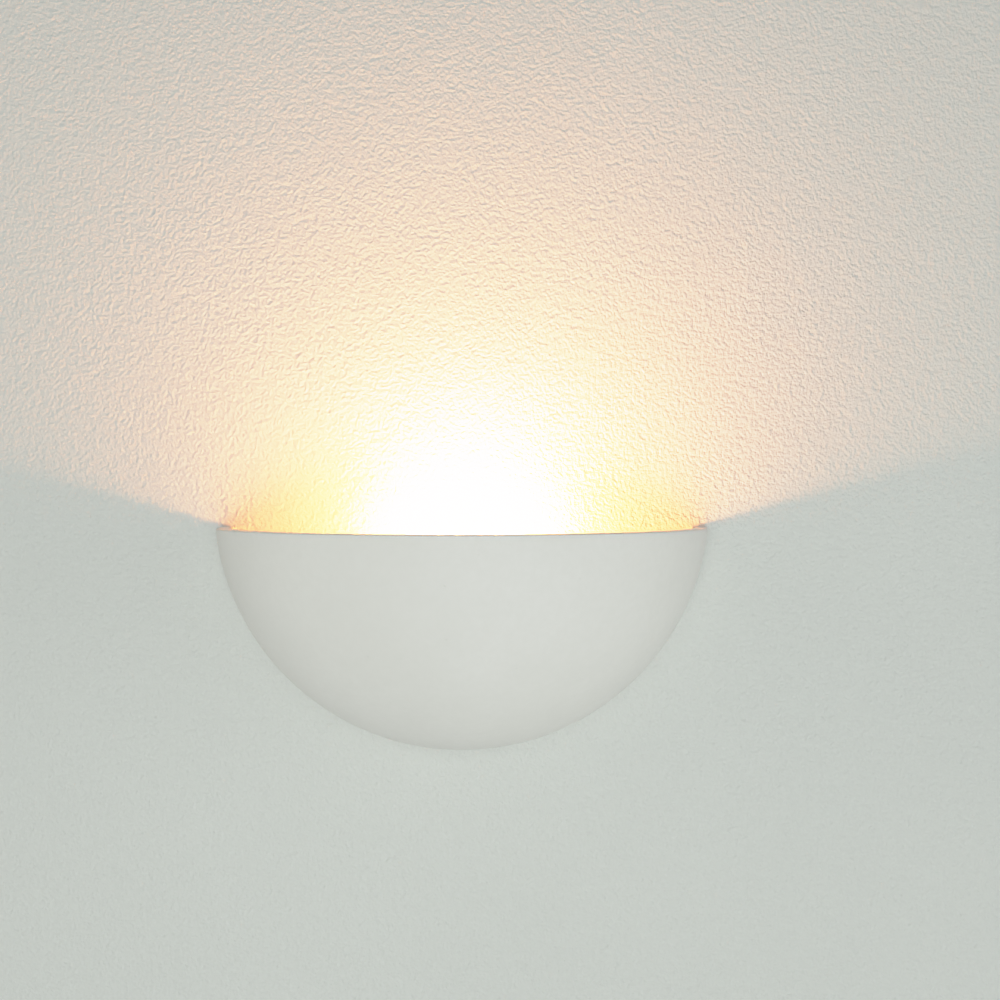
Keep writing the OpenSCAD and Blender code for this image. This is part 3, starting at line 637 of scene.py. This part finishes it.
rows = [4.2 + i * 15.52 / 110 for i in range(111)]
cap = thread(
    "cap_shell",
    [(t, T_MEAN - T_AMP * (1 - cap_depth(t)), T_AMP * cap_depth(t)) for t in rows]
    + [(20.2, 6.42, 0), (20.6, 6.75, 0), (20.9, 7.35, 0), (21.2, 7.95, 0), (21.5, 8.3, 0), (21.9, 8.46, 0), (22.4, 8.5, 0), (23.6, 8.46, 0), (24.2, 8.5, 0), (26.4, 8.5, 0), (26.8, 8.45, 0), (27.0, 8.3, 0)],
    [(4.2, 5.8, 0), (20.2, 5.8, 0), (21.6, 7.6, 0), (22.6, 8.1, 0), (27.0, 8.1, 0)],
    "nickel", 64)
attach(cap, "lamp")
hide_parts("lamp_cap")

rows = [2.2 + i * 16.93 / 110 for i in range(111)]
m = T_MEAN + GAP
screw = thread(
    "brass_screw_shell",
    [(t, m + 0.35 + T_AMP * (1 - shell_depth(t)), T_AMP * shell_depth(t)) for t in rows],
    [(t, m + T_AMP * (1 - shell_depth(t)), T_AMP * shell_depth(t)) for t in rows],
    "brass", 64)
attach(screw, "fixture")
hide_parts("screw_shell")


# the filament as a real coil
def filament():
    pts = [(56.5, 0, -10), (57.7, 3.5, -6.4), (58.5, 5.4, -2.2), (58.5, 5.4, 2.2), (57.7, 3.5, 6.4), (56.5, 0, 10)]
    base = smooth_route([(LAMP_X + p[0] + 0.55, -LAMP_Y + p[1], LAMP_Z + p[2]) for p in pts], 90)
    tan = [(base[min(i + 1, len(base) - 1)] - base[max(i - 1, 0)]).normalized() for i in range(len(base))]
    mm = Vector((1, 0, 0))
    route = []
    for i, c in enumerate(base):
        mm = (mm - mm.dot(tan[i]) * tan[i]).normalized()
        b = tan[i].cross(mm)
        a = 2 * math.pi * i / 9.0
        route.append(c + 0.3 * (math.cos(a) * mm + math.sin(a) * b))
    return sweep("filament_coil", [tuple(v) for v in route], 0.06, "filament", 1, 6)


coil = filament()
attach(coil, "lamp")
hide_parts("filament")

# ---------------------------------------------------------------- room, lights and camera
def wall_material():
    t = Tree("wall_paint")
    # the roller's stipple, in two sizes
    stip = t.noise(520.0, 2, 0.5)
    knobs = t.noise(260.0, 2, 0.5)
    cloud = t.noise(3.0, 3)
    base = t.mix(t.span(cloud, 0.3, 0.7, 0.0, 1.0), (0.703, 0.718, 0.695), (0.718, 0.733, 0.710))
    n = t.bump(t.math("ADD", t.math("MULTIPLY", stip, 0.6), t.math("MULTIPLY", knobs, 0.6)), 1.0, 0.00102)
    b = t.new("ShaderNodeBsdfPrincipled")
    t.put(b.inputs["Base Color"], base)
    b.inputs["Roughness"].default_value = 0.85
    b.inputs["Specular IOR Level"].default_value = 0.2
    t.put(b.inputs["Normal"], n)
    clear = t.new("ShaderNodeBsdfTransparent")
    geo = t.new("ShaderNodeNewGeometry")
    path = t.new("ShaderNodeLightPath")
    side = t.math("MAXIMUM", geo.outputs["Backfacing"], path.outputs["Is Shadow Ray"])
    mx = t.new("ShaderNodeMixShader")
    t.put(mx.inputs[0], side)
    t.t.links.new(b.outputs[0], mx.inputs[1])
    t.t.links.new(clear.outputs[0], mx.inputs[2])
    t.t.links.new(mx.outputs[0], t.out.inputs["Surface"])
    return t.m


def floor_material():
    t = Tree("floor_pale")
    base = t.mix(t.noise(4.0, 4), (0.72, 0.72, 0.705), (0.77, 0.77, 0.755))
    t.surface(base, t.span(t.noise(8.0, 3), 0.3, 0.7, 0.55, 0.7), t.bump(t.noise(60.0, 3), 0.1, 0.001))
    # the floor stays pale to the eye behind the wall too, without lighting the room
    t.put(t.b.inputs["Emission Color"], base)
    t.put(t.b.inputs["Emission Strength"], t.math("MULTIPLY", t.new("ShaderNodeLightPath").outputs["Is Camera Ray"], 0.42))
    t.m.cycles.emission_sampling = "NONE"
    return t.m


def plane(name, corners, material):
    me = bpy.data.meshes.new(name)
    me.from_pydata(corners, [], [(0, 1, 2, 3)])
    me.materials.append(material)
    o = bpy.data.objects.new(name, me)
    bpy.context.scene.collection.objects.link(o)
    return o


W, TOP, BOTTOM = 2.4, 1.6, -1.9
wall = plane("room_wall", [(-W, 0.0006, BOTTOM), (W, 0.0006, BOTTOM), (W, 0.0006, TOP), (-W, 0.0006, TOP)], wall_material())
floor = plane("room_floor", [(-6, -6, BOTTOM), (6, -6, BOTTOM), (6, 6, BOTTOM), (-6, 6, BOTTOM)], floor_material())


def area(name, loc, target, size, power, color, spread=180.0):
    d = bpy.data.lights.new(name, "AREA")
    d.shape = "RECTANGLE"
    d.size, d.size_y = size
    d.energy = power
    d.color = color
    d.spread = math.radians(spread)
    o = bpy.data.objects.new(name, d)
    o.location = loc
    o.rotation_euler = (Vector(target) - Vector(loc)).to_track_quat("-Z", "Y").to_euler()
    o.visible_camera = False
    bpy.context.scene.collection.objects.link(o)
    return o


area("front_low", (0.0, -2.2, -0.8), (0, 0, 0), (2.4, 0.8), 19.4, (0.963, 1.0, 0.976))
area("left_soft", (-1.6, -0.5, 0.6), (0, 0, 0), (0.8, 1.0), 2.5, (1.0, 0.96, 0.80))
area("right_soft", (2.0, -0.6, -0.2), (0, 0, 0), (1.0, 1.6), 6.5, (0.963, 1.0, 0.976))
area("near_soft", (0.0, -1.1, 0.1), (0, 0, 0), (0.8, 0.8), 3.4, (0.963, 1.0, 0.976))
area("back_soft", (0.6, 2.4, 0.9), (0, 0, 0), (2.2, 1.8), 16.0, (0.98, 1.0, 1.0))

world = bpy.data.worlds.new("studio")
world.use_nodes = True
bg = world.node_tree.nodes["Background"]
bg.inputs[0].default_value = (0.963, 1.0, 0.976, 1.0)
bg.inputs[1].default_value = 0.25
# what the camera sees past the wall is a paler backdrop than what lights the room
pale = world.node_tree.nodes.new("ShaderNodeBackground")
pale.inputs[0].default_value = (0.97, 1.0, 0.985, 1.0)
pale.inputs[1].default_value = 0.55
ray = world.node_tree.nodes.new("ShaderNodeLightPath")
either = world.node_tree.nodes.new("ShaderNodeMixShader")
world.node_tree.links.new(ray.outputs["Is Camera Ray"], either.inputs[0])
world.node_tree.links.new(bg.outputs[0], either.inputs[1])
world.node_tree.links.new(pale.outputs[0], either.inputs[2])
world.node_tree.links.new(either.outputs[0], world.node_tree.nodes["World Output"].inputs["Surface"])
bpy.context.scene.world = world

cam_data = bpy.data.cameras.new("camera")
cam_data.sensor_width = 36.0
cam_data.lens = 32.07
cam_data.clip_start = 0.02
cam_data.clip_end = 30.0
cam = bpy.data.objects.new("camera", cam_data)
cam.location = (0.02263, -0.548, RIM_Z * MM + 0.01648)
cam.rotation_euler = (math.radians(90), 0, 0)
bpy.context.scene.collection.objects.link(cam)
bpy.context.scene.camera = cam

# the picture's response: straight up to the brightness of the painted wall, then a soft shoulder for the glow
view = bpy.context.scene.view_settings
view.view_transform = "Standard"
view.look = "None"
view.exposure = 0.0
view.gamma = 1.0
KNEE, BEND, WHITE = 0.675, 1.451, 6.0


def shoulder(v):
    if v <= KNEE:
        return v
    x = (v - KNEE) / (1 - KNEE)
    return KNEE + (1 - KNEE) * x / (1 + x ** BEND) ** (1 / BEND)


view.use_curve_mapping = True
cm = view.curve_mapping
cm.white_level = (WHITE, WHITE, WHITE)
curve_all = cm.curves[3]
for v in (0.35, 0.55, KNEE, 0.72, 0.79, 0.87, 0.95, 1.05, 1.2, 1.4, 1.7, 2.1, 2.7, 3.5, 4.6):
    curve_all.points.new(v / WHITE, shoulder(v))
curve_all.points[-1].location = (1.0, shoulder(WHITE))
# the blue response runs out to white a little sooner
for a, b in ((0.3, 0.3), (0.5, 0.5), (0.62, 0.62), (0.68, 0.69), (0.74, 0.79), (0.80, 0.96), (0.90, 1.40), (1.0, 2.0), (1.2, 3.1), (1.6, 4.2), (2.6, 5.2)):
    cm.curves[2].points.new(a / WHITE, b / WHITE)
cm.update()
